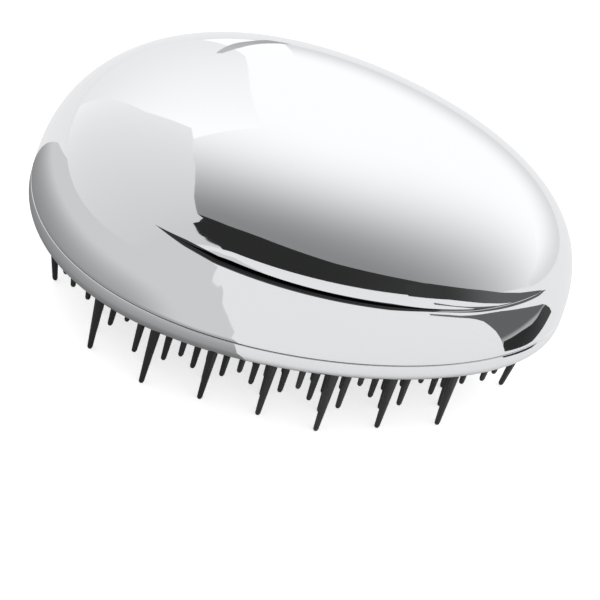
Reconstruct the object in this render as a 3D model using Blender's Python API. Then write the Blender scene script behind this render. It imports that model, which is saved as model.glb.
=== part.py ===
# Palm-held detangling brush: an egg-shaped, chrome-finished shell over a pad of fine teeth.
# The shell is screwed to a backing plate, and the rim ring snaps over the plate and traps the pad.
# Metres, +Z up. The origin is on the plane of the long teeth's ends, under the middle of the egg,
# and the broad end of the egg points to -X. Heights named RISE are above the ring's underside.
import math
import bpy
import bmesh
from mathutils import Vector

# Egg outline of the widest level, the egg's fullness being how far its broadest place is pushed to -X
BODY_LENGTH = 0.0900
BODY_WIDTH = 0.0648
BODY_FULLNESS = 0.0073

# Side view of the dome
WIDEST_RISE = 0.0034
DOME_RISE = 0.0276
DOME_POWER = 2.59
CROWN_SHIFT = 0.0007

# Foot of the ring, which tucks in under the widest level
FOOT_TUCK_ENDS = 0.0019
FOOT_TUCK_SIDES = 0.0032
FOOT_FULLNESS = 0.0090
FOOT_SHIFT = 0.0007

# Crease along each side, where the dome's foot rolls in over a narrow shelf on top of the skirt
CREASE_START_X = -0.0230
CREASE_START_RISE = 0.0180
CREASE_LOW_X = 0.0295
CREASE_LOW_RISE = 0.0151
CREASE_END_X = 0.0402
CREASE_END_RISE = 0.0154
CREASE_SWEEP_POWER = 1.08
CREASE_DEPTH = 0.0013
CREASE_ROLL = 0.0065
CREASE_OPENING_SHARE = 0.14
CREASE_CLOSING_POWER = 0.8
SHELF_WIDTH = 0.00105

# Walls and the seam between shell and ring
SHELL_WALL = 0.0016
RING_TOP_RISE = 0.00515
SEAM_GAP = 0.0003
SEAM_CHAMFER = 0.00025
LIP_WIDTH = 0.0009
LEDGE_WIDTH = 0.0008
LEDGE_RISE = 0.0015
SHELL_BASE_RISE = RING_TOP_RISE + SEAM_GAP

# Snap bead on the backing plate and its groove in the ring
SNAP_RISE = 0.0041
BEAD_DEPTH = 0.0004
BEAD_HALF_HEIGHT = 0.0004

# Pad, its flange and its teeth
FIT_GAP = 0.0003
PAD_FACE_RISE = 0.0005
FLANGE_THICKNESS = 0.0012
LONG_REACH = 0.0144
MEDIUM_REACH = 0.0106
SHORT_REACH = 0.0069
TOOTH_PITCH = 0.00486
TOOTH_SHIFT = 0.00073
LONG_ROOT = 0.0019
MEDIUM_ROOT = 0.0016
SHORT_ROOT = 0.0013
TOOTH_TIP = 0.0009
TIP_ROUND = 0.0005
TIP_FLAT_SHARE = 0.8
ROOT_SINK = 0.0004

# Edge of the field of teeth, another egg, with the medium rows held further in
FIELD_INSET_ENDS = 0.0031
FIELD_INSET_SIDES = 0.00245
FIELD_FULLNESS = 0.0045
FIELD_SHIFT = -0.0002
MEDIUM_INSET = 0.0016

# Over the last stretch before each end the roots spread outwards and the teeth lean back in
BROAD_END_RUN = 0.0190
NARROW_END_RUN = 0.0120
BROAD_SPREAD_SHARE = 0.13
NARROW_SPREAD_SHARE = 0.25
LEAN_SLOPE_SHARE = 0.21
LEAN_RUN = 0.0120

# Backing plate, screws and the bosses that take them
PLATE_THICKNESS = 0.0016
COLLAR_RADIUS = 0.0036
COLLAR_TOP_RISE = 0.0063
SCREW_SPACING_X = 0.0440
SCREW_SPACING_Y = 0.0200
SCREW_RADIUS = 0.0010
SCREW_LENGTH = 0.0080
SCREW_POINT = 0.0012
HEAD_RADIUS = 0.0023
HEAD_HEIGHT = 0.0014
HEAD_ROUND = 0.0004
HEAD_RECESS = 0.0018
BOSS_WALL = 0.0016
PILOT_DEPTH = 0.0085

# Overrun of every cut past the face that it opens, and the distance within which points merge
OVERRUN = 0.0010
MERGE = 0.00002

# Facets
OUTLINE_STEPS = 72
CAVITY_STEPS = 48
TURNED_STEPS = 16
STEP_TURN = 0.01
SMOOTH_ANGLE = 0.6


def clear_scene():
    for old in list(bpy.data.objects):
        bpy.data.objects.remove(old, do_unlink=True)


def material(name, colour, roughness, metallic):
    made = bpy.data.materials.new(name)
    made.use_nodes = True
    shader = made.node_tree.nodes["Principled BSDF"]
    shader.inputs["Base Color"].default_value = (*colour, 1)
    shader.inputs["Roughness"].default_value = roughness
    shader.inputs["Metallic"].default_value = metallic
    made.diffuse_color = (*colour, 1)
    return made


def finish(name, bm, look):
    """Turn a bmesh into a named object with its faces out and its round faces shaded smooth."""
    bmesh.ops.recalc_face_normals(bm, faces=bm.faces)
    mesh = bpy.data.meshes.new(name)
    bm.to_mesh(mesh)
    bm.free()
    mesh.shade_smooth()
    mesh.set_sharp_from_angle(angle=SMOOTH_ANGLE)
    made = bpy.data.objects.new(name, mesh)
    bpy.context.scene.collection.objects.link(made)
    if look:
        made.data.materials.append(look)
    return made


def as_cutter(made):
    made.hide_render = True
    made.display_type = "WIRE"
    return made


def boolean(made, other, operation):
    step = made.modifiers.new(operation.lower() + "_" + other.name, "BOOLEAN")
    step.operation = operation
    step.solver = "EXACT"
    step.object = as_cutter(other)


# Outlines in plan, all as functions of the turn round the egg, which starts at the broad end

def egg(length, width, fullness, turn):
    x = -length * math.cos(turn) / 2
    swell = math.sqrt(length ** 2 + 8 * fullness * x + 4 * fullness ** 2)
    return Vector((x, width * length * math.sin(turn) / (2 * swell)))


def body_outline(turn):
    return egg(BODY_LENGTH, BODY_WIDTH, BODY_FULLNESS, turn)


def foot_outline(turn):
    length = BODY_LENGTH - 2 * FOOT_TUCK_ENDS
    width = BODY_WIDTH - 2 * FOOT_TUCK_SIDES
    return egg(length, width, FOOT_FULLNESS, turn) + Vector((FOOT_SHIFT, 0))


def inward(outline, turn):
    along = outline(turn + STEP_TURN) - outline(turn - STEP_TURN)
    return Vector((along.y, -along.x)).normalized()


def inset(outline, depth, turn):
    return outline(turn) + inward(outline, turn) * depth


def at_rise(flat, rise):
    """A point of the plan at a height above the ring's underside."""
    return Vector((flat.x, flat.y, LONG_REACH + rise))


# The dome and its crease

def crease_rise(turn):
    x = min(max(body_outline(turn).x, CREASE_START_X), CREASE_END_X)
    if x < CREASE_LOW_X:
        along = (CREASE_LOW_X - x) / (CREASE_LOW_X - CREASE_START_X)
        return CREASE_LOW_RISE + (CREASE_START_RISE - CREASE_LOW_RISE) * along ** CREASE_SWEEP_POWER
    along = (x - CREASE_LOW_X) / (CREASE_END_X - CREASE_LOW_X)
    return CREASE_LOW_RISE + (CREASE_END_RISE - CREASE_LOW_RISE) * along ** 2


def crease_share(turn):
    """Nothing at the crease's two ends. It opens smoothly to 1 and then closes by a power."""
    along = (body_outline(turn).x - CREASE_START_X) / (CREASE_END_X - CREASE_START_X)
    if along <= 0 or along >= 1:
        return 0
    opened = min(along / CREASE_OPENING_SHARE, 1)
    closed = min((1 - along) / (1 - CREASE_OPENING_SHARE), 1)
    return opened ** 2 * (3 - 2 * opened) * closed ** CREASE_CLOSING_POWER


def dome_scale(rise, top):
    """Share of the widest outline that is left at a rise, for a dome of that top."""
    if rise <= WIDEST_RISE:
        return 1
    return (1 - ((rise - WIDEST_RISE) / top) ** DOME_POWER) ** (1 / DOME_POWER)


def crown_shift(rise):
    return Vector((CROWN_SHIFT * (max(rise - WIDEST_RISE, 0) / DOME_RISE) ** 2, 0))


def dome_point(turn, rise, wall):
    """A point of the dome above the crease, on its outer face, or on its inner face for a wall."""
    flat = inset(body_outline, wall, turn) * dome_scale(rise, DOME_RISE - wall) + crown_shift(rise)
    left = max(1 - (rise - crease_rise(turn)) / CREASE_ROLL, 0)
    return at_rise(flat + inward(body_outline, turn) * CREASE_DEPTH * crease_share(turn) * left ** 2, rise)


def skirt_point(turn, rise, wall, shelf):
    """A point of the skirt, which runs straight from the seam up to the outer edge of the shelf."""
    middle = crease_rise(turn)
    up = (rise - SHELL_BASE_RISE) / (middle - SHELL_BASE_RISE)
    natural = dome_scale(rise, DOME_RISE - wall)
    straight = 1 - (1 - dome_scale(middle, DOME_RISE - wall)) * up
    share = crease_share(turn)
    flat = inset(body_outline, wall, turn) * (natural + (straight - natural) * share) + crown_shift(rise)
    return at_rise(flat + inward(body_outline, turn) * (CREASE_DEPTH - shelf) * share * up, rise)


def dome_rises(turn, steps, wall):
    """Rises of the rows above the crease, short of the crown."""
    top = DOME_RISE - wall
    first = math.asin(((crease_rise(turn) - WIDEST_RISE) / top) ** (DOME_POWER / 2))
    climbs = [first + (math.pi / 2 - first) * i / steps for i in range(1, steps)]
    return [WIDEST_RISE + top * math.sin(climb) ** (2 / DOME_POWER) for climb in climbs]


# Lofts: a ring of points, extruded from each row to the next

def turns(steps):
    return [2 * math.pi * i / steps for i in range(steps)]


def extrude_ring(bm, verts, edges, row):
    """Extrude a ring of edges and lay its new points on a row."""
    made = bmesh.ops.extrude_edge_only(bm, edges=edges)["geom"]
    fresh = {item for item in made if isinstance(item, bmesh.types.BMVert)}
    raised = []
    for vert in verts:
        twins = [edge.other_vert(vert) for edge in vert.link_edges]
        raised.append(next(twin for twin in twins if twin in fresh))
    for twin, point in zip(raised, row):
        twin.co = point
    return raised, [item for item in made if isinstance(item, bmesh.types.BMEdge)
                    and item.verts[0] in fresh and item.verts[1] in fresh]


def loft(bm, rows, round_section):
    """Carry a ring through all rows, and back to the first where the section is a closed loop."""
    if round_section:
        rows = rows + rows[:1]
    verts = [bm.verts.new(point) for point in rows[0]]
    edges = [bm.edges.new((verts[i - 1], verts[i])) for i in range(len(verts))]
    first_verts, first_edges = verts, edges
    for row in rows[1:]:
        verts, edges = extrude_ring(bm, verts, edges, row)
    if round_section:
        bmesh.ops.remove_doubles(bm, verts=first_verts + verts, dist=MERGE)
    return first_edges, edges


def close_ring(bm, ring):
    return bmesh.ops.contextual_create(bm, geom=ring)["faces"][0]


def slab(bm, levels, steps):
    """A closed solid through levels, each an outline, how far it is inset and its rise."""
    rows = [[at_rise(inset(outline, depth, turn), rise) for turn in turns(steps)]
            for outline, depth, rise in levels]
    for end in loft(bm, rows, False):
        close_ring(bm, end)


def dome_solid(name, start, base_row, skirt_steps, dome_steps, steps, wall, shelf, look):
    """Skirt, shelf and dome as a closed solid, standing on a row that the caller gives below its start."""
    columns = []
    for turn in turns(steps):
        middle = crease_rise(turn)
        climbs = [start + (middle - start) * i / skirt_steps for i in range(skirt_steps + 1)]
        column = [base_row(turn)] + [skirt_point(turn, rise, wall, shelf) for rise in climbs]
        rises = [middle] + dome_rises(turn, dome_steps, wall)
        columns.append(column + [dome_point(turn, rise, wall) for rise in rises])
    bm = bmesh.new()
    bottom, top = loft(bm, list(zip(*columns)), False)
    close_ring(bm, bottom)
    top = close_ring(bm, top)
    crown = bmesh.ops.poke(bm, faces=[top])["verts"][0]
    crown.co = at_rise(Vector((CROWN_SHIFT, 0)), WIDEST_RISE + DOME_RISE - wall)
    bmesh.ops.remove_doubles(bm, verts=bm.verts, dist=MERGE)
    return finish(name, bm, look)


def posts(name, radius, low, high, look=None):
    """Four upright cylinders at the screws' places, from one rise to another."""
    bm = bmesh.new()
    for x, y in screw_places():
        made = bmesh.ops.create_cone(bm, cap_ends=True, segments=TURNED_STEPS, radius1=radius,
                                     radius2=radius, depth=high - low)
        middle = at_rise(Vector((x, y)), (low + high) / 2)
        bmesh.ops.translate(bm, verts=made["verts"], vec=middle)
    return finish(name, bm, look)


def screw_places():
    return [(side_x * SCREW_SPACING_X / 2, side_y * SCREW_SPACING_Y / 2)
            for side_x in (-1, 1) for side_y in (-1, 1)]


# Top shell: one chrome-finished moulding with four screw bosses inside

def make_top_shell(look):
    def chamfered_edge(turn):
        flat = inset(body_outline, SEAM_CHAMFER, turn) * dome_scale(SHELL_BASE_RISE, DOME_RISE)
        return at_rise(flat, SHELL_BASE_RISE)

    def cavity_mouth(turn):
        return at_rise(inset(body_outline, SHELL_WALL, turn), SHELL_BASE_RISE - OVERRUN)

    start = SHELL_BASE_RISE + SEAM_CHAMFER
    shell = dome_solid("top_shell", start, chamfered_edge, 3, 11, OUTLINE_STEPS, 0, SHELF_WIDTH, look)
    cavity = dome_solid("shell_cavity", SHELL_BASE_RISE, cavity_mouth, 3, 8, CAVITY_STEPS, SHELL_WALL,
                        0, None)
    boss_foot = COLLAR_TOP_RISE + FIT_GAP
    pilot_radius = SCREW_RADIUS + FIT_GAP
    bosses = posts("boss_cores", pilot_radius + BOSS_WALL, boss_foot, WIDEST_RISE + DOME_RISE)
    pilots = posts("pilot_holes", pilot_radius, boss_foot - OVERRUN, boss_foot + PILOT_DEPTH)
    boolean(cavity, bosses, "DIFFERENCE")
    boolean(shell, cavity, "DIFFERENCE")
    boolean(shell, pilots, "DIFFERENCE")
    return shell


# Rim ring: one closed section carried round the egg

def make_rim_ring(look):
    pocket = LIP_WIDTH - LEDGE_WIDTH
    groove = BEAD_DEPTH + BEAD_HALF_HEIGHT

    def skin(turn, down):
        flat = body_outline(turn).lerp(foot_outline(turn), down ** 2)
        return at_rise(flat, WIDEST_RISE * (1 - down))

    def section(turn):
        tuck_steps = 5
        points = [skin(turn, 1 - i / tuck_steps) for i in range(tuck_steps + 1)]
        points.append(at_rise(body_outline(turn), RING_TOP_RISE - SEAM_CHAMFER))
        points.append(at_rise(inset(body_outline, SEAM_CHAMFER, turn), RING_TOP_RISE))
        wall = inset(foot_outline, pocket, turn)
        points.append(at_rise(wall, RING_TOP_RISE))
        points.append(at_rise(wall, SNAP_RISE + groove))
        points.append(at_rise(inset(foot_outline, pocket - BEAD_DEPTH, turn), SNAP_RISE))
        points.append(at_rise(wall, SNAP_RISE - groove))
        points.append(at_rise(wall, LEDGE_RISE))
        opening = inset(foot_outline, LIP_WIDTH, turn)
        points.append(at_rise(opening, LEDGE_RISE))
        points.append(at_rise(opening, 0))
        return points

    bm = bmesh.new()
    sections = [section(turn) for turn in turns(OUTLINE_STEPS)]
    loft(bm, list(zip(*sections)), True)
    return finish("rim_ring", bm, look)


# Pad with its teeth: one soft black moulding, flanged so that the ring can hold it

def in_field(x, y, medium):
    """Whether a lattice point lies inside the egg that bounds the teeth."""
    extra = MEDIUM_INSET if medium else 0
    length = BODY_LENGTH - 2 * (FOOT_TUCK_ENDS + FIELD_INSET_ENDS + extra)
    width = BODY_WIDTH - 2 * (FOOT_TUCK_SIDES + FIELD_INSET_SIDES + extra)
    from_middle = x - FIELD_SHIFT
    left = length ** 2 - 4 * from_middle ** 2
    if left <= 0:
        return False
    swell = math.sqrt(length ** 2 + 8 * FIELD_FULLNESS * from_middle + 4 * FIELD_FULLNESS ** 2)
    return abs(y) <= width * math.sqrt(left) / (2 * swell)


def tooth_places():
    """Root x, root y, sideways slope and kind of each tooth, on a square lattice with filled centres."""
    reach = int(BODY_LENGTH / TOOTH_PITCH)
    places = []
    for column in range(-reach, reach + 1):
        for row in range(-reach, reach + 1):
            if (column + row) % 2:
                continue
            x = TOOTH_SHIFT + TOOTH_PITCH * column / 2
            y = TOOTH_PITCH * row / 2
            medium = column % 2 == 1
            if not in_field(x, y, medium):
                continue
            kind = "medium" if medium else "long" if column % 4 == 0 else "short"
            past_broad = max(-x - BODY_LENGTH / 2 + BROAD_END_RUN, 0)
            past_narrow = max(x - BODY_LENGTH / 2 + NARROW_END_RUN, 0)
            spread = NARROW_SPREAD_SHARE * past_narrow - BROAD_SPREAD_SHARE * past_broad
            lean = LEAN_SLOPE_SHARE * (past_broad - past_narrow) / LEAN_RUN
            places.append((x + spread, y, lean, kind))
    return places


def add_tooth(bm, x, y, lean, kind):
    """One four-sided tooth, tapered from its root to a blunt end."""
    reach, root = {"long": (LONG_REACH, LONG_ROOT), "medium": (MEDIUM_REACH, MEDIUM_ROOT),
                   "short": (SHORT_REACH, SHORT_ROOT)}[kind]
    top = PAD_FACE_RISE + ROOT_SINK
    rows = []
    for drop, width in ((-top, root), (reach - TIP_ROUND, TOOTH_TIP), (reach, TOOTH_TIP * TIP_FLAT_SHARE)):
        half = width * math.sqrt(math.pi) / 4
        corners = ((-half, -half), (half, -half), (half, half), (-half, half))
        middle = Vector((x + lean * max(drop, 0), y))
        rows.append([at_rise(middle + Vector(corner), -drop) for corner in corners])
    for end in loft(bm, rows, False):
        close_ring(bm, end)


def make_bristle_pad(look):
    pocket = LIP_WIDTH - LEDGE_WIDTH
    face = LIP_WIDTH + FIT_GAP
    flange = pocket + FIT_GAP
    flange_low = LEDGE_RISE + FIT_GAP
    bm = bmesh.new()
    slab(bm, [(foot_outline, face, PAD_FACE_RISE), (foot_outline, face, flange_low),
              (foot_outline, flange, flange_low), (foot_outline, flange, flange_low + FLANGE_THICKNESS)],
         OUTLINE_STEPS)
    pad = finish("bristle_pad", bm, look)
    bm = bmesh.new()
    for place in tooth_places():
        add_tooth(bm, *place)
    teeth = finish("tooth_bodies", bm, None)
    boolean(pad, teeth, "UNION")
    return pad


# Backing plate: clamps the pad's flange and carries the snap bead that holds the ring

def make_backing_plate(look):
    rim = LIP_WIDTH - LEDGE_WIDTH + FIT_GAP
    low = LEDGE_RISE + FLANGE_THICKNESS + 2 * FIT_GAP
    top = low + PLATE_THICKNESS
    bm = bmesh.new()
    slab(bm, [(foot_outline, rim, low), (foot_outline, rim, SNAP_RISE - BEAD_HALF_HEIGHT),
              (foot_outline, rim - BEAD_DEPTH, SNAP_RISE), (foot_outline, rim, SNAP_RISE + BEAD_HALF_HEIGHT),
              (foot_outline, rim, top)], OUTLINE_STEPS)
    plate = finish("backing_plate", bm, look)
    boolean(plate, posts("plate_collars", COLLAR_RADIUS, top - PLATE_THICKNESS / 2, COLLAR_TOP_RISE), "UNION")
    head_radius = HEAD_RADIUS + FIT_GAP
    boolean(plate, posts("head_recesses", head_radius, low - OVERRUN, low + HEAD_RECESS), "DIFFERENCE")
    hole_radius = SCREW_RADIUS + FIT_GAP
    holes = posts("screw_holes", hole_radius, low, COLLAR_TOP_RISE + OVERRUN)
    boolean(plate, holes, "DIFFERENCE")
    return plate


# Screws: turned profiles, driven up through the plate into the shell's bosses

def make_screw(name, x, y, look):
    low = LEDGE_RISE + FLANGE_THICKNESS + 2 * FIT_GAP
    seat = low + HEAD_RECESS - FIT_GAP
    foot = seat - HEAD_HEIGHT
    profile = ((0, foot), (HEAD_RADIUS - HEAD_ROUND, foot), (HEAD_RADIUS, foot + HEAD_ROUND),
               (HEAD_RADIUS, seat), (SCREW_RADIUS, seat), (SCREW_RADIUS, seat + SCREW_LENGTH - SCREW_POINT),
               (0, seat + SCREW_LENGTH))
    bm = bmesh.new()
    verts = [bm.verts.new(at_rise(Vector((x + radius, y)), rise)) for radius, rise in profile]
    edges = [bm.edges.new(pair) for pair in zip(verts, verts[1:])]
    bmesh.ops.spin(bm, geom=verts + edges, cent=(x, y, 0), axis=(0, 0, 1), angle=2 * math.pi,
                   steps=TURNED_STEPS, use_merge=True)
    bmesh.ops.remove_doubles(bm, verts=bm.verts, dist=MERGE)
    return finish(name, bm, look)


clear_scene()
chrome = material("chrome_finish", (0.83, 0.84, 0.86), 0.05, 1)
pad_black = material("pad_black", (0.022, 0.022, 0.025), 0.42, 0)
plate_black = material("plate_black", (0.030, 0.030, 0.032), 0.5, 0)
screw_steel = material("screw_steel", (0.62, 0.62, 0.63), 0.28, 1)
make_top_shell(chrome)
make_rim_ring(chrome)
make_bristle_pad(pad_black)
make_backing_plate(plate_black)
for number, (place_x, place_y) in enumerate(screw_places(), start=1):
    make_screw("case_screw_%d" % number, place_x, place_y, screw_steel)
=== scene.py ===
# Palm-held detangling brush with a chrome-plated shell over a black pad of fine teeth.
# Metres, +Z up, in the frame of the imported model: the long teeth stand on z = 0, the broad end is at -X.
# Heights named RISE are above the ring's underside.
import math

import bmesh
import bpy
from mathutils import Matrix, Vector


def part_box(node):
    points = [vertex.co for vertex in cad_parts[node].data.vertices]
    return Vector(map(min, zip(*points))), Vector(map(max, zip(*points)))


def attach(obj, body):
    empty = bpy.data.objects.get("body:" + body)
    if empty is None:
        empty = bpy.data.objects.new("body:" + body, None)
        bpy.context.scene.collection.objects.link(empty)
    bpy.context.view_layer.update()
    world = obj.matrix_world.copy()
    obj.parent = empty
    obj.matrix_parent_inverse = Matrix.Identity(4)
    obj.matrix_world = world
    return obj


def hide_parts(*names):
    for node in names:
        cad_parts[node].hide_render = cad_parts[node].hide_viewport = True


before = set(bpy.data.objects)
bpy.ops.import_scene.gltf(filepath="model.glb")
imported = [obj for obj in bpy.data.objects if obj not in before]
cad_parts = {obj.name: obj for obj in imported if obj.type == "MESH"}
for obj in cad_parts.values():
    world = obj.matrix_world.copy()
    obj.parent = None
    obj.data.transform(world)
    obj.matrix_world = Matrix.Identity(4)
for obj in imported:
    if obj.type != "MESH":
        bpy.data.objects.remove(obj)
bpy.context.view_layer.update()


# Top shell: one moulding of hard plastic, plated bright chrome, egg-shaped in plan and a flattened dome in
# section. A finger crease is pressed into each long side and starts in a sharp point near the broad end. It
# is a narrow ledge, and the dome's foot rolls in over it.

ring_low, ring_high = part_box("rim_ring")
RING_FOOT = ring_low[2]
BODY_LENGTH = ring_high[0] - ring_low[0]
BODY_WIDTH = ring_high[1] - ring_low[1]
BODY_FULLNESS = 0.0073
WIDEST_RISE = 0.0034
DOME_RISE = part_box("top_shell")[1][2] - RING_FOOT - WIDEST_RISE
DOME_POWER = 2.59
CROWN_SHIFT = 0.0007
SHELL_WALL = 0.0016
SEAM_WIDTH = 0.0001
SHELL_BASE_RISE = ring_high[2] - RING_FOOT + SEAM_WIDTH
EDGE_ROUND = 0.00012

CREASE_START_X = -0.0263
CREASE_START_RISE = 0.01816
CREASE_HOOK_X = -0.0140
CREASE_HOOK_RISE = 0.0006
CREASE_LOW_X = 0.0295
CREASE_LOW_RISE = 0.0151
CREASE_END_X = 0.0402
CREASE_END_RISE = 0.0154
CREASE_SWEEP_POWER = 1.08
CREASE_DEPTH = 0.0013
CREASE_ROLL = 0.0065
CREASE_OPENING_SHARE = 0.22
CREASE_CLOSING_POWER = 0.8
SHELF_WIDTH = 0.00105

SHELL_TURNS = 480
SHELF_ROUND = 0.00012
SKIRT_ROWS = 22
DOME_ROWS = 84
DOME_BUNCHING = 1.4
LINING_ROWS = 24
BEND_ROWS = 5
CORNER_ROWS = 4
STEP_TURN = 0.01
MERGE = 0.000001
SHARP_ANGLE = 0.6


def egg(length, width, fullness, turn):
    """A point of an egg-shaped outline. The turn starts at the broad end."""
    x = -length * math.cos(turn) / 2
    swell = math.sqrt(length ** 2 + 8 * fullness * x + 4 * fullness ** 2)
    return Vector((x, width * length * math.sin(turn) / (2 * swell)))


def body_outline(turn):
    return egg(BODY_LENGTH, BODY_WIDTH, BODY_FULLNESS, turn)


def inward(outline, turn):
    """The way square to an outline and into it."""
    along = outline(turn + STEP_TURN) - outline(turn - STEP_TURN)
    return Vector((along.y, -along.x)).normalized()


def inset(outline, depth, turn):
    return outline(turn) + inward(outline, turn) * depth


def at_rise(flat, rise):
    return Vector((flat.x, flat.y, RING_FOOT + rise))


def crease_rise_at(x):
    """The crease falls from its sharp start, hooked up a little, to its lowest point, and lifts again."""
    x = min(max(x, CREASE_START_X), CREASE_END_X)
    if x < CREASE_LOW_X:
        along = (CREASE_LOW_X - x) / (CREASE_LOW_X - CREASE_START_X)
        sweep = CREASE_LOW_RISE + (CREASE_START_RISE - CREASE_LOW_RISE) * along ** CREASE_SWEEP_POWER
        hook = max(CREASE_HOOK_X - x, 0) / (CREASE_HOOK_X - CREASE_START_X)
        return sweep + CREASE_HOOK_RISE * hook * (2 - hook)
    along = (x - CREASE_LOW_X) / (CREASE_END_X - CREASE_LOW_X)
    return CREASE_LOW_RISE + (CREASE_END_RISE - CREASE_LOW_RISE) * along ** 2


def crease_rise(turn):
    return crease_rise_at(body_outline(turn).x)


def crease_share(turn):
    """Nothing at the crease's two ends. It opens smoothly to 1 and then closes by a power."""
    along = (body_outline(turn).x - CREASE_START_X) / (CREASE_END_X - CREASE_START_X)
    if along <= 0 or along >= 1:
        return 0
    opened = min(along / CREASE_OPENING_SHARE, 1)
    closed = min((1 - along) / (1 - CREASE_OPENING_SHARE), 1)
    return opened ** 2 * (3 - 2 * opened) * closed ** CREASE_CLOSING_POWER


def dome_scale(rise, top):
    if rise <= WIDEST_RISE:
        return 1
    return (1 - ((rise - WIDEST_RISE) / top) ** DOME_POWER) ** (1 / DOME_POWER)


def crown_shift(rise):
    return Vector((CROWN_SHIFT * (max(rise - WIDEST_RISE, 0) / DOME_RISE) ** 2, 0))


def dome_point(turn, rise, wall):
    """The dome down to the crease, where its foot rolls in over the shelf."""
    flat = inset(body_outline, wall, turn) * dome_scale(rise, DOME_RISE - wall) + crown_shift(rise)
    left = max(1 - (rise - crease_rise(turn)) / CREASE_ROLL, 0)
    return at_rise(flat + inward(body_outline, turn) * CREASE_DEPTH * crease_share(turn) * left ** 2, rise)


def skirt_point(turn, rise, wall, shelf):
    """The skirt, which is straight from the seam up to the outer edge of the shelf."""
    middle = crease_rise(turn)
    up = (rise - SHELL_BASE_RISE) / (middle - SHELL_BASE_RISE)
    natural = dome_scale(rise, DOME_RISE - wall)
    straight = 1 - (1 - dome_scale(middle, DOME_RISE - wall)) * up
    share = crease_share(turn)
    flat = inset(body_outline, wall, turn) * (natural + (straight - natural) * share) + crown_shift(rise)
    return at_rise(flat + inward(body_outline, turn) * (CREASE_DEPTH - shelf) * share * up, rise)


def dome_rises(turn, wall, rows, bunching):
    """Rises from just above the crease to the crown, bunched towards the crease."""
    top = DOME_RISE - wall
    first = math.asin(((crease_rise(turn) - WIDEST_RISE) / top) ** (DOME_POWER / 2))
    climbs = [first + (math.pi / 2 - first) * (i / rows) ** bunching for i in range(1, rows + 1)]
    return [WIDEST_RISE + top * math.sin(climb) ** (2 / DOME_POWER) for climb in climbs]


def shell_column(turn):
    """One upright section of the shell: crown of the lining, round the lower edge, up to the outer crown."""
    middle = crease_rise(turn)
    crown = Vector((CROWN_SHIFT, 0))
    lining = dome_rises(turn, SHELL_WALL, LINING_ROWS, 1)[:-1]
    points = [at_rise(crown, WIDEST_RISE + DOME_RISE - SHELL_WALL)]
    points += [dome_point(turn, rise, SHELL_WALL) for rise in reversed(lining)]
    foot = SHELL_BASE_RISE + EDGE_ROUND
    for i in range(BEND_ROWS):
        points.append(skirt_point(turn, middle + (foot - middle) * i / (BEND_ROWS - 1), SHELL_WALL, 0))
    for i in range(BEND_ROWS):
        bend = math.pi / 2 * i / (BEND_ROWS - 1)
        depth = SHELL_WALL - EDGE_ROUND * (1 - math.cos(bend))
        points.append(at_rise(inset(body_outline, depth, turn), foot - EDGE_ROUND * math.sin(bend)))
    outer = dome_scale(SHELL_BASE_RISE, DOME_RISE)
    for i in range(BEND_ROWS):
        bend = math.pi / 2 * i / (BEND_ROWS - 1)
        depth = EDGE_ROUND * (1 - math.sin(bend))
        points.append(at_rise(inset(body_outline, depth, turn) * outer, foot - EDGE_ROUND * math.cos(bend)))
    edge = middle - SHELF_ROUND
    for i in range(1, SKIRT_ROWS + 1):
        points.append(skirt_point(turn, foot + (edge - foot) * i / SKIRT_ROWS, 0, SHELF_WIDTH))
    rim = points[-1]
    corner = skirt_point(turn, middle, 0, SHELF_WIDTH)
    shelf = dome_point(turn, middle, 0) - corner
    shelf_start = corner + shelf * min(SHELF_ROUND / max(shelf.length, MERGE), 0.5)
    for i in range(1, CORNER_ROWS + 1):
        along = i / CORNER_ROWS
        points.append(rim.lerp(corner, along).lerp(corner.lerp(shelf_start, along), along))
    points.append(dome_point(turn, middle, 0))
    points += [dome_point(turn, rise, 0) for rise in dome_rises(turn, 0, DOME_ROWS, DOME_BUNCHING)[:-1]]
    points.append(at_rise(crown, WIDEST_RISE + DOME_RISE))
    return points


def wrap(name, column, turns, closed):
    """Spin a column of points round the upright axis, then lay each on the section for its turn."""
    sections = [column(2 * math.pi * i / turns) for i in range(turns)]
    bm = bmesh.new()
    row_of = bm.verts.layers.int.new("row")
    verts = []
    for row in range(len(sections[0])):
        verts.append(bm.verts.new((-1, 0, row)))
        verts[-1][row_of] = row
    edges = [bm.edges.new(pair) for pair in zip(verts, verts[1:])]
    if closed:
        edges.append(bm.edges.new((verts[-1], verts[0])))
    bmesh.ops.spin(bm, geom=verts + edges, cent=(0, 0, 0), axis=(0, 0, 1), angle=2 * math.pi,
                   steps=turns, use_merge=True)
    for vert in bm.verts:
        turn = math.atan2(vert.co.y, -vert.co.x)
        vert.co = sections[round(turn * turns / (2 * math.pi)) % turns][vert[row_of]]
    bmesh.ops.remove_doubles(bm, verts=bm.verts, dist=MERGE)
    return piece_from(name, bm)


def piece_from(name, bm):
    bmesh.ops.recalc_face_normals(bm, faces=bm.faces)
    mesh = bpy.data.meshes.new(name)
    bm.to_mesh(mesh)
    bm.free()
    mesh.shade_smooth()
    made = bpy.data.objects.new(name, mesh)
    bpy.context.scene.collection.objects.link(made)
    return made


def new_material(name, colour, roughness, metallic):
    made = bpy.data.materials.new(name)
    made.use_nodes = True
    shader = made.node_tree.nodes["Principled BSDF"]
    shader.inputs["Base Color"].default_value = (*colour, 1)
    shader.inputs["Roughness"].default_value = roughness
    shader.inputs["Metallic"].default_value = metallic
    made.diffuse_color = (*colour, 1)
    return made


def add_node(tree, kind, **settings):
    node = tree.nodes.new(kind)
    for key, value in settings.items():
        setattr(node, key, value)
    return node


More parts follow.
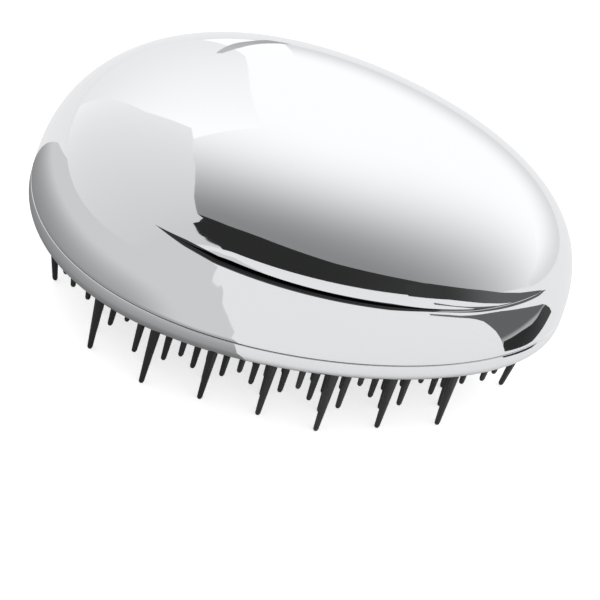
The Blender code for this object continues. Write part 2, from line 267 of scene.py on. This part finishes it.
def new_group(name, sliders, results):
    """A shader group with plain number inputs and number outputs."""
    tree = bpy.data.node_groups.new(name, "ShaderNodeTree")
    tree.interface.new_socket("Vector", in_out="INPUT", socket_type="NodeSocketVector")
    for slider in sliders:
        tree.interface.new_socket(slider, in_out="INPUT", socket_type="NodeSocketFloat")
    for result in results:
        tree.interface.new_socket(result, in_out="OUTPUT", socket_type="NodeSocketFloat")
    return tree, tree.nodes.new("NodeGroupInput"), tree.nodes.new("NodeGroupOutput")


HAZE_DETAIL = 5
HAZE_DISTORTION = 0.6
HAZE_FROM = 0.42
HAZE_TO = 0.70


def make_handling_haze():
    """Roughness between two limits, in soft patches as wiping and handling leave them."""
    tree, given, result = new_group("handling_haze", ["Patch Scale", "Clean", "Hazed"], ["Roughness"])
    noise = add_node(tree, "ShaderNodeTexNoise")
    noise.inputs["Detail"].default_value = HAZE_DETAIL
    noise.inputs["Distortion"].default_value = HAZE_DISTORTION
    spread = add_node(tree, "ShaderNodeMapRange")
    spread.inputs["From Min"].default_value = HAZE_FROM
    spread.inputs["From Max"].default_value = HAZE_TO
    tree.links.new(given.outputs["Vector"], noise.inputs["Vector"])
    tree.links.new(given.outputs["Patch Scale"], noise.inputs["Scale"])
    tree.links.new(noise.outputs["Fac"], spread.inputs["Value"])
    tree.links.new(given.outputs["Clean"], spread.inputs["To Min"])
    tree.links.new(given.outputs["Hazed"], spread.inputs["To Max"])
    tree.links.new(spread.outputs["Result"], result.inputs["Roughness"])
    return tree


handling_haze = make_handling_haze()


def haze(made, patch_scale, clean, hazed):
    tree = made.node_tree
    place = add_node(tree, "ShaderNodeTexCoord")
    group = add_node(tree, "ShaderNodeGroup", node_tree=handling_haze)
    group.inputs["Patch Scale"].default_value = patch_scale
    group.inputs["Clean"].default_value = clean
    group.inputs["Hazed"].default_value = hazed
    tree.links.new(place.outputs["Object"], group.inputs["Vector"])
    tree.links.new(group.outputs["Roughness"], tree.nodes["Principled BSDF"].inputs["Roughness"])


CHROME_COLOUR = (0.83, 0.84, 0.86)
CHROME_ROUGHNESS = 0.03


def chrome_plating(name):
    made = new_material(name, CHROME_COLOUR, CHROME_ROUGHNESS, 1)
    haze(made, patch_scale=38, clean=0.025, hazed=0.05)
    return made


# Painted shade: a near-black colour laid on the chrome along the crease's corner, in place of the shade deep
# in the groove.
PAINTED_SHADE_COLOUR = (0.055, 0.055, 0.058)
PAINTED_SHADE_REACH = 0.0004
PAINTED_SHADE_EDGE = 0.00004
PAINTED_SHADE_START_RUN = 0.0062
PAINTED_SHADE_THIN_X = 0.0250
PAINTED_SHADE_THIN_RUN = 0.0090
PAINTED_SHADE_THIN_SHARE = 0.1


def past_painted_crease_shade(place):
    """How far a point lies above or below the strip of painted dark shade along the crease. Less than 0 is
    in the strip.
    """
    rise = place.z - RING_FOOT
    crease_top = CREASE_START_RISE + CREASE_HOOK_RISE
    x = (place.x - crown_shift(rise).x) / dome_scale(min(rise, crease_top), DOME_RISE)
    thinned = max((PAINTED_SHADE_THIN_X - x) / PAINTED_SHADE_THIN_RUN, PAINTED_SHADE_THIN_SHARE)
    reach = PAINTED_SHADE_REACH * min((x - CREASE_START_X) / PAINTED_SHADE_START_RUN, thinned, 1)
    if not CREASE_START_X < x < CREASE_END_X:
        reach = -PAINTED_SHADE_REACH
    return abs(rise - crease_rise_at(x)) - reach


def paint_crease_shade(made, mesh):
    """The crease's corner is coloured near black: painted shade, standing in for the shade that falls deep
    in the narrow groove.
    """
    past = mesh.attributes.new("past_painted_crease_shade", "FLOAT", "POINT")
    for vert in mesh.vertices:
        past.data[vert.index].value = past_painted_crease_shade(vert.co)
    tree = made.node_tree
    mark = add_node(tree, "ShaderNodeAttribute", attribute_name="past_painted_crease_shade")
    edge = add_node(tree, "ShaderNodeMapRange")
    for socket, value in (("From Min", -PAINTED_SHADE_EDGE), ("From Max", 0), ("To Min", 1), ("To Max", 0)):
        edge.inputs[socket].default_value = value
    colour = add_node(tree, "ShaderNodeMix", data_type="RGBA")
    colour.inputs["A"].default_value = (*CHROME_COLOUR, 1)
    colour.inputs["B"].default_value = (*PAINTED_SHADE_COLOUR, 1)
    tree.links.new(mark.outputs["Fac"], edge.inputs["Value"])
    tree.links.new(edge.outputs["Result"], colour.inputs["Factor"])
    tree.links.new(colour.outputs["Result"], tree.nodes["Principled BSDF"].inputs["Base Color"])


top_shell = wrap("chrome_shell", shell_column, SHELL_TURNS, False)
top_shell.data.set_sharp_from_angle(angle=SHARP_ANGLE)
# The shell's chrome carries the painted dark shade along the crease.
shell_chrome = chrome_plating("shell_chrome_plating")
paint_crease_shade(shell_chrome, top_shell.data)
top_shell.data.materials.append(shell_chrome)
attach(top_shell, "root")
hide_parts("top_shell")


# Rim ring: a separate chrome-plated moulding under the shell, carried round the egg in one section. Its skin
# tucks in towards the teeth, and a V seam shows between it and the shell. It snaps over the backing plate.

FOOT_TUCK_ENDS = 0.0019
FOOT_TUCK_SIDES = 0.0032
FOOT_FULLNESS = 0.0090
FOOT_SHIFT = 0.0007
RING_TOP_RISE = ring_high[2] - RING_FOOT
LIP_WIDTH = 0.0009
LEDGE_WIDTH = 0.0008
LEDGE_RISE = 0.0015
SNAP_RISE = 0.0041
BEAD_DEPTH = 0.0004
BEAD_HALF_HEIGHT = 0.0004
LIP_ROUND = 0.0002
TUCK_ROWS = 16
RING_TURNS = 480


def foot_outline(turn):
    length = BODY_LENGTH - 2 * FOOT_TUCK_ENDS
    width = BODY_WIDTH - 2 * FOOT_TUCK_SIDES
    return egg(length, width, FOOT_FULLNESS, turn) + Vector((FOOT_SHIFT, 0))


def ring_skin(turn, down):
    """The ring's outside, which tucks in faster towards the foot."""
    flat = body_outline(turn).lerp(foot_outline(turn), down ** 2)
    return at_rise(flat, WIDEST_RISE * (1 - down))


def ring_column(turn):
    """The ring's closed section, from the foot up the skin, over the top edge and down the inside."""
    pocket = LIP_WIDTH - LEDGE_WIDTH
    groove = BEAD_DEPTH + BEAD_HALF_HEIGHT
    points = [at_rise(inset(foot_outline, LIP_ROUND, turn), 0)]
    lowest = 1 - LIP_ROUND / WIDEST_RISE
    points += [ring_skin(turn, lowest - i / TUCK_ROWS * lowest) for i in range(TUCK_ROWS + 1)]
    shoulder = RING_TOP_RISE - EDGE_ROUND
    for i in range(BEND_ROWS):
        bend = math.pi / 2 * i / (BEND_ROWS - 1)
        depth = EDGE_ROUND * (1 - math.cos(bend))
        points.append(at_rise(inset(body_outline, depth, turn), shoulder + EDGE_ROUND * math.sin(bend)))
    for outline_depth, rise in ((pocket, RING_TOP_RISE), (pocket, SNAP_RISE + groove),
                                (pocket - BEAD_DEPTH, SNAP_RISE), (pocket, SNAP_RISE - groove),
                                (pocket, LEDGE_RISE), (LIP_WIDTH, LEDGE_RISE), (LIP_WIDTH, LIP_ROUND),
                                (LIP_WIDTH - LIP_ROUND, 0)):
        points.append(at_rise(inset(foot_outline, outline_depth, turn), rise))
    return points


rim_ring = wrap("chrome_rim_ring", ring_column, RING_TURNS, True)
rim_ring.data.set_sharp_from_angle(angle=SHARP_ANGLE)
rim_ring.data.materials.append(chrome_plating("bright_chrome_plating"))
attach(rim_ring, "root")
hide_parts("rim_ring")


# Bristle pad: one soft black moulding. Its flange is trapped between the ring's ledge and the backing plate,
# and round teeth of three lengths stand out of its face on a square lattice with filled centres.

FIT_GAP = 0.0003
PAD_FACE_RISE = 0.0005
FLANGE_THICKNESS = 0.0012
LONG_REACH = RING_FOOT
MEDIUM_REACH = 0.0106
SHORT_REACH = 0.0069
TOOTH_KINDS = ("long", "medium", "short", "medium")
TOOTH_REACHES = {"long": LONG_REACH, "medium": MEDIUM_REACH, "short": SHORT_REACH}
TOOTH_ROOTS = {"long": 0.0019, "medium": 0.0016, "short": 0.0013}
TOOTH_PITCH = 0.00486
TOOTH_SHIFT = 0.00073
TOOTH_TIP = 0.0009
TIP_CURVE = ((1, 1), (0.75, 0.34), (0.4, 0.06), (0, 0))
ROOT_FILLET = 0.0003
FIELD_INSET_ENDS = 0.0031
FIELD_INSET_SIDES = 0.00245
FIELD_FULLNESS = 0.0045
FIELD_SHIFT = -0.0002
MEDIUM_INSET = 0.0016
STRAIGHT_TO_BROAD = 0.0260
STRAIGHT_TO_NARROW = 0.0330
BROAD_SPREAD_SHARE = 0.13
NARROW_SPREAD_SHARE = 0.25
LEAN_SLOPE_SHARE = 0.21
LEAN_RUN = 0.0120
PAD_TURNS = 240
TOOTH_SIDES = 9


def pad_column(turn):
    """The pad's section, with its face down: the face, the step up to the flange, and the flange's back."""
    pocket = LIP_WIDTH - LEDGE_WIDTH
    face = LIP_WIDTH + FIT_GAP
    flange = pocket + FIT_GAP
    flange_low = LEDGE_RISE + FIT_GAP
    middle = Vector((FOOT_SHIFT, 0))
    points = [at_rise(middle, PAD_FACE_RISE)]
    points += [at_rise(inset(foot_outline, depth, turn), rise) for depth, rise in (
        (face + EDGE_ROUND, PAD_FACE_RISE), (face, PAD_FACE_RISE + EDGE_ROUND), (face, flange_low),
        (flange, flange_low), (flange, flange_low + FLANGE_THICKNESS))]
    points.append(at_rise(middle, flange_low + FLANGE_THICKNESS))
    return points


def in_field(x, y, medium):
    """Whether a tooth stands in the egg that the teeth fill. The medium ones stay a little further in."""
    extra = MEDIUM_INSET if medium else 0
    length = BODY_LENGTH - 2 * (FOOT_TUCK_ENDS + FIELD_INSET_ENDS + extra)
    width = BODY_WIDTH - 2 * (FOOT_TUCK_SIDES + FIELD_INSET_SIDES + extra)
    from_middle = x - FIELD_SHIFT
    left = length ** 2 - 4 * from_middle ** 2
    if left <= 0:
        return False
    swell = math.sqrt(length ** 2 + 8 * FIELD_FULLNESS * from_middle + 4 * FIELD_FULLNESS ** 2)
    return abs(y) <= width * math.sqrt(left) / (2 * swell)


def tooth_places():
    """Root x, root y, lean and kind of each tooth. The rows at both ends spread and lean a little."""
    reach = int(BODY_LENGTH / TOOTH_PITCH)
    places = []
    for column in range(-reach, reach + 1):
        for row in range(-reach, reach + 1):
            kind = TOOTH_KINDS[column % len(TOOTH_KINDS)]
            x = TOOTH_SHIFT + TOOTH_PITCH * column / 2
            y = TOOTH_PITCH * row / 2
            if (column + row) % 2 or not in_field(x, y, kind == "medium"):
                continue
            past_broad = max(-x - STRAIGHT_TO_BROAD, 0)
            past_narrow = max(x - STRAIGHT_TO_NARROW, 0)
            spread = NARROW_SPREAD_SHARE * past_narrow - BROAD_SPREAD_SHARE * past_broad
            lean = LEAN_SLOPE_SHARE * (past_broad - past_narrow) / LEAN_RUN
            places.append((x + spread, y, lean, kind))
    return places


def add_tooth(bm, x, y, lean, kind):
    """A round tapered tooth with a filleted root and a rounded end, which leans along the brush."""
    reach = TOOTH_REACHES[kind]
    root = TOOTH_ROOTS[kind] / 2
    tip = TOOTH_TIP / 2
    face = -PAD_FACE_RISE
    profile = [(0, face - ROOT_FILLET), (root + ROOT_FILLET, face - ROOT_FILLET / 4),
               (root + ROOT_FILLET / 4, face + ROOT_FILLET), (root, face + 3 * ROOT_FILLET)]
    profile += [(tip * across, reach - tip * back) for across, back in TIP_CURVE]
    before = len(bm.verts)
    verts = [bm.verts.new((x + radius, y, RING_FOOT - drop)) for radius, drop in profile]
    edges = [bm.edges.new(pair) for pair in zip(verts, verts[1:])]
    bmesh.ops.spin(bm, geom=verts + edges, cent=(x, y, 0), axis=(0, 0, 1), angle=2 * math.pi,
                   steps=TOOTH_SIDES, use_merge=True)
    bm.verts.ensure_lookup_table()
    for vert in bm.verts[before:]:
        vert.co.x += lean * max(RING_FOOT - vert.co.z, 0)


plain_pad = wrap("plain_pad", pad_column, PAD_TURNS, False)
bm = bmesh.new()
bm.from_mesh(plain_pad.data)
bpy.data.objects.remove(plain_pad, do_unlink=True)
for tooth in tooth_places():
    add_tooth(bm, *tooth)
bmesh.ops.remove_doubles(bm, verts=bm.verts, dist=MERGE)
bristle_pad = piece_from("toothed_pad", bm)
bristle_pad.data.set_sharp_from_angle(angle=SHARP_ANGLE)


GRAIN_DETAIL = 3


def make_moulded_grain():
    """Height of the fine spark-eroded grain that a mould leaves on plastic."""
    tree, given, result = new_group("moulded_grain", ["Grain Scale"], ["Height"])
    noise = add_node(tree, "ShaderNodeTexNoise")
    noise.inputs["Detail"].default_value = GRAIN_DETAIL
    tree.links.new(given.outputs["Vector"], noise.inputs["Vector"])
    tree.links.new(given.outputs["Grain Scale"], noise.inputs["Scale"])
    tree.links.new(noise.outputs["Fac"], result.inputs["Height"])
    return tree


moulded_grain = make_moulded_grain()


def grain(made, grain_scale, depth):
    tree = made.node_tree
    place = add_node(tree, "ShaderNodeTexCoord")
    group = add_node(tree, "ShaderNodeGroup", node_tree=moulded_grain)
    group.inputs["Grain Scale"].default_value = grain_scale
    bump = add_node(tree, "ShaderNodeBump")
    bump.inputs["Distance"].default_value = depth
    tree.links.new(place.outputs["Object"], group.inputs["Vector"])
    tree.links.new(group.outputs["Height"], bump.inputs["Height"])
    tree.links.new(bump.outputs["Normal"], tree.nodes["Principled BSDF"].inputs["Normal"])


pad_black = new_material("soft_black_plastic", (0.022, 0.022, 0.025), 0.42, 0)
haze(pad_black, patch_scale=120, clean=0.36, hazed=0.5)
grain(pad_black, grain_scale=5200, depth=0.00002)
bristle_pad.data.materials.append(pad_black)
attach(bristle_pad, "root")
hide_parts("bristle_pad")


# Backing plate: matt black rigid plastic, which clamps the pad's flange to the ring from inside. It is
# hidden, and its CAD solid has the right shape and stays.

plate_black = new_material("matt_black_plastic", (0.030, 0.030, 0.032), 0.5, 0)
haze(plate_black, patch_scale=90, clean=0.45, hazed=0.6)
grain(plate_black, grain_scale=4200, depth=0.00003)
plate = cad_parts["backing_plate"]
plate.data.materials.clear()
plate.data.materials.append(plate_black)


# Case screws: four small steel screws, turned and zinc-bright, driven up through the plate into the shell's
# bosses. They are hidden, and their CAD solids stay.

screw_steel = new_material("bright_screw_steel", (0.62, 0.62, 0.63), 0.28, 1)
haze(screw_steel, patch_scale=900, clean=0.22, hazed=0.38)
for number in range(1, 5):
    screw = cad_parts["case_screw_%d" % number]
    screw.data.materials.clear()
    screw.data.materials.append(screw_steel)


# Camera: at the photograph's angle and roll, with the long lens that the brush's outline and its lattice of
# teeth give.

PICTURE_WIDTH = 600
FOCAL_PIXELS = 3339.9
SENSOR = 36
CAMERA_AZIMUTH = -3.39
CAMERA_ELEVATION = 36.0
CAMERA_ROLL = math.radians(17.63)
CAMERA_DISTANCE = 0.5393
CLIP_START = 0.01
CLIP_END = 20
TARGET = Vector((0, 0, 0.03005))
TARGET_PIXEL = (316.7, 182.4)


def way(azimuth, elevation):
    """The way to an azimuth right of the front and an elevation, both in degrees."""
    turn = math.radians(azimuth)
    climb = math.radians(elevation)
    return Vector((math.sin(turn) * math.cos(climb), -math.cos(turn) * math.cos(climb), math.sin(climb)))


back = way(CAMERA_AZIMUTH, CAMERA_ELEVATION)
level = way(CAMERA_AZIMUTH + 90, 0)
upright = back.cross(level)
right = level * math.cos(CAMERA_ROLL) + upright * math.sin(CAMERA_ROLL)
up = upright * math.cos(CAMERA_ROLL) - level * math.sin(CAMERA_ROLL)
place = TARGET + back * CAMERA_DISTANCE
off_x = (PICTURE_WIDTH / 2 - TARGET_PIXEL[0]) / FOCAL_PIXELS * CAMERA_DISTANCE
off_y = (PICTURE_WIDTH / 2 - TARGET_PIXEL[1]) / FOCAL_PIXELS * CAMERA_DISTANCE
aim = TARGET + right * off_x - up * off_y
new_back = (place - aim).normalized()
new_right = (right - new_back * right.dot(new_back)).normalized()
new_up = new_back.cross(new_right)

lens = bpy.data.cameras.new("camera")
lens.sensor_width = SENSOR
lens.lens = FOCAL_PIXELS / PICTURE_WIDTH * SENSOR
lens.clip_start = CLIP_START
lens.clip_end = CLIP_END
camera = bpy.data.objects.new("camera", lens)
bpy.context.scene.collection.objects.link(camera)
turned = Matrix((new_right, new_up, new_back)).transposed().to_4x4()
camera.matrix_world = Matrix.Translation(place) @ turned
bpy.context.scene.camera = camera


# Studio: a white sheet under the brush, and a white tent round it that is darker over the front. Dark
# screens stand in front and at the right, pale panels at the left, the right and the rear, and cards lie on
# the sheet beside the brush. All but the sheet are seen in the chrome alone.

FLOOR_REACH = 3.0
FLOOR_COLOUR = (0.9, 0.9, 0.9)
FLOOR_ROUGHNESS = 0.8
FLOOR_SPECULAR = 0.1
FLOOR_LIFTS = (("Is Camera Ray", 0.7), ("Is Transmission Ray", 0.7), ("Is Glossy Ray", 0.12))
TENT_RADIUS = 2.5
TENT_DARK_END = -0.70 * TENT_RADIUS
TENT_LIGHT_END = 0.72 * TENT_RADIUS
CARD_RISE = 0.0004


def glow(name, low, high, near, far, along=None, away=None):
    """A glow that grows from low to high between two distances, along a way or away from the middle."""
    made = new_material(name, (0, 0, 0), 1, 0)
    made.cycles.emission_sampling = "NONE"
    tree = made.node_tree
    shader = tree.nodes["Principled BSDF"]
    shader.inputs["Specular IOR Level"].default_value = 0
    shader.inputs["Emission Color"].default_value = (1, 1, 1, 1)
    place = add_node(tree, "ShaderNodeTexCoord")
    measured = add_node(tree, "ShaderNodeVectorMath", operation="DOT_PRODUCT")
    measured.inputs[1].default_value = away or along
    tree.links.new(place.outputs["Object"], measured.inputs[0])
    if away:
        measured.operation = "MULTIPLY"
        length = add_node(tree, "ShaderNodeVectorMath", operation="LENGTH")
        tree.links.new(measured.outputs["Vector"], length.inputs[0])
        measured = length
    shade = add_node(tree, "ShaderNodeMapRange", interpolation_type="SMOOTHSTEP")
    for socket, value in (("From Min", near), ("From Max", far), ("To Min", low), ("To Max", high)):
        shade.inputs[socket].default_value = value
    tree.links.new(measured.outputs["Value"], shade.inputs["Value"])
    tree.links.new(shade.outputs["Result"], shader.inputs["Emission Strength"])
    return made


def seen_in_chrome(bm, name, look):
    screen = piece_from(name, bm)
    screen.data.materials.append(look)
    screen.visible_camera = False
    screen.visible_diffuse = False
    screen.visible_shadow = False


def flat_screen(name, points, look):
    bm = bmesh.new()
    verts = [bm.verts.new(point) for point in points]
    edges = [bm.edges.new((verts[i - 1], verts[i])) for i in range(len(verts))]
    bmesh.ops.contextual_create(bm, geom=edges)
    seen_in_chrome(bm, name, look)


def standing_screen(name, eye, aim, distance, corners, look):
    """A flat screen, square to the way to its aim. Its corners are ways too, from one point of the brush."""
    facing = way(*aim)
    ways = [way(*corner) for corner in corners]
    flat_screen(name, [Vector(eye) + to * distance / to.dot(facing) for to in ways], look)


def lying_card(name, corners, look):
    flat_screen(name, [(x, y, CARD_RISE) for x, y in corners], look)


bm = bmesh.new()
bmesh.ops.create_grid(bm, x_segments=1, y_segments=1, size=FLOOR_REACH)
floor = piece_from("white_sheet", bm)
sheet = new_material("white_sheet", FLOOR_COLOUR, FLOOR_ROUGHNESS, 0)
tree = sheet.node_tree
shader = tree.nodes["Principled BSDF"]
shader.inputs["Specular IOR Level"].default_value = FLOOR_SPECULAR
shader.inputs["Emission Color"].default_value = (1, 1, 1, 1)
rays = add_node(tree, "ShaderNodeLightPath")
lift = None
for output, amount in FLOOR_LIFTS:
    part = add_node(tree, "ShaderNodeMath", operation="MULTIPLY")
    part.inputs[1].default_value = amount
    tree.links.new(rays.outputs[output], part.inputs[0])
    if lift:
        total = add_node(tree, "ShaderNodeMath", operation="MAXIMUM")
        tree.links.new(lift.outputs[0], total.inputs[0])
        tree.links.new(part.outputs[0], total.inputs[1])
        part = total
    lift = part
tree.links.new(lift.outputs[0], shader.inputs["Emission Strength"])
floor.data.materials.append(sheet)

bm = bmesh.new()
bmesh.ops.create_uvsphere(bm, u_segments=48, v_segments=24, radius=TENT_RADIUS)
seen_in_chrome(bm, "graded_tent", glow("graded_tent", low=0.285, high=1.17, near=TENT_DARK_END,
                                       far=TENT_LIGHT_END, along=way(168, 0)))

FOOT_EYE = (-0.005, -0.028, 0.034)
TIP_EYE = (0.033, -0.018, 0.0302)
CROWN_EYE = (-0.030, 0, 0.038)
NARROW_EYE = (0.033, 0, 0.034)

# The side where the front screen and the left panel meet, and how far the panel goes on behind the screen.
SCREEN_SIDE = [(-30.5, 41.5), (-29.3, 37.5), (-27.6, 34.1), (-22.7, 27.1), (-17.8, 17.4), (-15.7, 13.2),
               (-13.3, 5.1), (-11.5, -2.1), (-9.5, -4.9)]
PANEL_OVERLAP = 2.5

standing_screen("front_black_screen", FOOT_EYE, aim=(20, 15), distance=0.40,
                corners=[(-33, 44.5), (-18, 41.5), (-2, 40), (13, 34), (25, 27), (36, 21.5), (46, 15.6),
                         (54, 10), (54, -4.9), (12, -4.9)] + SCREEN_SIDE[::-1],
                look=glow("black_screen", low=0.028, high=0.045, near=0.1, far=0.4, along=way(90, 0)))
standing_screen("right_grey_screen", TIP_EYE, aim=(78, -2), distance=0.14,
                corners=[(36, 12), (44, 15), (58, 8), (63.6, 5.4), (72.8, -0.2), (83.7, -4.3), (90.1, -5.7),
                         (98.3, -7.7), (108.6, -12.2), (97, -11.5), (85, -12), (73, -12), (64, -10.3),
                         (58, -8.4), (50, -6), (36, -5.2)],
                look=glow("grey_screen", low=0.045, high=0.13, near=-0.125, far=-0.06, along=way(180, 0)))
standing_screen("left_pale_panel", FOOT_EYE, aim=(-75, 25), distance=0.42,
                corners=[(-33, 44.5), (-41, 51), (-52, 57), (-74, 64), (-102, 65.5), (-124, 61), (-138, 56),
                         (-147, 49), (-150, 20), (-150, -4.5)]
                + [(azimuth + PANEL_OVERLAP, elevation) for azimuth, elevation in SCREEN_SIDE[::-1]],
                look=glow("pale_panel", low=0.70, high=1.04, near=-0.6, far=0.9, along=way(180, 0)))
standing_screen("rear_pale_panel", CROWN_EYE, aim=(-160, 15), distance=0.60,
                corners=[(-138, -4.5), (-138, 58), (-152, 57), (-174, 51), (-174, 20), (-172, 7),
                         (-170, -4.5)],
                look=glow("rear_panel", low=0.95, high=1.17, near=0, far=0.7, along=way(0, 90)))
standing_screen("rear_grey_strip", CROWN_EYE, aim=(-174, 5), distance=0.55,
                corners=[(-169.8, 17.2), (-170.2, 15.9), (-172.1, 11.4), (-174.1, 7), (-176.8, 2),
                         (-179.7, -4.6), (-182, -4.6), (-180.8, -1.5), (-179, 2.3), (-176.8, 6.8),
                         (-174.3, 12), (-172.4, 15.1), (-170.8, 17.3)],
                look=glow("rear_strip", low=0.45, high=0.58, near=0, far=0.2, along=way(0, 90)))
standing_screen("right_pale_panel", NARROW_EYE, aim=(136, 10), distance=0.60,
                corners=[(88, -12), (88, 4), (100, 12), (115, 22), (130, 26), (184, 26), (184, -12)],
                look=glow("right_panel", low=0.82, high=1.17, near=0, far=0.30, along=way(0, 90)))
# The card is grey, and its glow falls from 0.70 far out to 0.20 next to the brush: a painted shadow of the
# brush on the sheet, seen in the chrome.
lying_card("left_grey_card_and_painted_shadow",
           corners=[(-0.003, -0.020), (-0.005, -0.100), (-0.0124, -0.1141), (-0.0199, -0.1255),
                    (-0.028, -0.1466), (-0.038, -0.1748), (-0.048, -0.2033), (-0.056, -0.2287),
                    (-0.095, -0.42), (-0.20, -1.0), (-0.9, -0.9), (-0.9, 0.30), (-0.15, 0.075),
                    (-0.03, 0.015)],
           look=glow("grey_card", low=0.20, high=0.70, near=0.025, far=0.10, away=(0.75, 1, 1)))

# The line where the two cards at the narrow end meet.
CARD_JOIN = [(0.0695, -0.0208), (0.0736, -0.0224), (0.0766, -0.0188), (0.0813, -0.0140), (0.0853, -0.0076),
             (0.0950, -0.0024), (0.1045, 0.0029), (0.1091, 0.0075)]

lying_card("right_black_card",
           corners=CARD_JOIN + [(0.0945, 0.0104), (0.0824, 0.0115), (0.0796, 0.0094), (0.0735, 0.0045),
                                (0.0699, 0.0011), (0.0668, -0.0030), (0.0664, -0.0070), (0.0662, -0.0130),
                                (0.0658, -0.0183)],
           look=glow("black_card", low=0.03, high=0.07, near=-0.015, far=0.01, along=way(180, 0)))
lying_card("right_grey_card",
           corners=CARD_JOIN + [(0.1185, 0.0042), (0.1325, -0.0114), (0.1410, -0.0246), (0.1450, -0.0366),
                                (0.1480, -0.0506), (0.1440, -0.0613), (0.1373, -0.0687), (0.1317, -0.0762),
                                (0.1275, -0.0836), (0.1262, -0.0934), (0.1290, -0.1050), (0.1350, -0.1250),
                                (0.1136, -0.1045), (0.1162, -0.0962), (0.1178, -0.0883), (0.1185, -0.0790),
                                (0.1185, -0.0703), (0.1155, -0.0620), (0.1093, -0.0529), (0.0986, -0.0432),
                                (0.0871, -0.0334), (0.0764, -0.0254)],
           look=glow("dark_grey_card", low=0.45, high=0.14, near=0.0640, far=0.0705, along=way(40, 0)))

WORLD_SEEN = 1.0
WORLD_LIGHT = 0.8
LAMP_LENGTH = 1.2
LAMP_WIDTH = 1.0
LAMP_POWER = 2
LAMP_PLACE = (0.2, 0.3, 1.2)
LAMP_TILT = math.radians(-14)

world = bpy.data.worlds.new("studio")
bpy.context.scene.world = world
world.use_nodes = True
tree = world.node_tree
background = tree.nodes["Background"]
background.inputs["Color"].default_value = (1, 1, 1, 1)
rays = add_node(tree, "ShaderNodeLightPath")
strength = add_node(tree, "ShaderNodeMapRange")
strength.inputs["To Min"].default_value = WORLD_SEEN
strength.inputs["To Max"].default_value = WORLD_LIGHT
tree.links.new(rays.outputs["Is Diffuse Ray"], strength.inputs["Value"])
tree.links.new(strength.outputs["Result"], background.inputs["Strength"])

lamp = bpy.data.lights.new("soft_top_light", "AREA")
lamp.shape = "RECTANGLE"
lamp.size = LAMP_LENGTH
lamp.size_y = LAMP_WIDTH
lamp.energy = LAMP_POWER
soft = bpy.data.objects.new("soft_top_light", lamp)
bpy.context.scene.collection.objects.link(soft)
soft.matrix_world = Matrix.Translation(LAMP_PLACE) @ Matrix.Rotation(LAMP_TILT, 4, "X")
soft.visible_glossy = False

bpy.context.scene.view_settings.view_transform = "Standard"
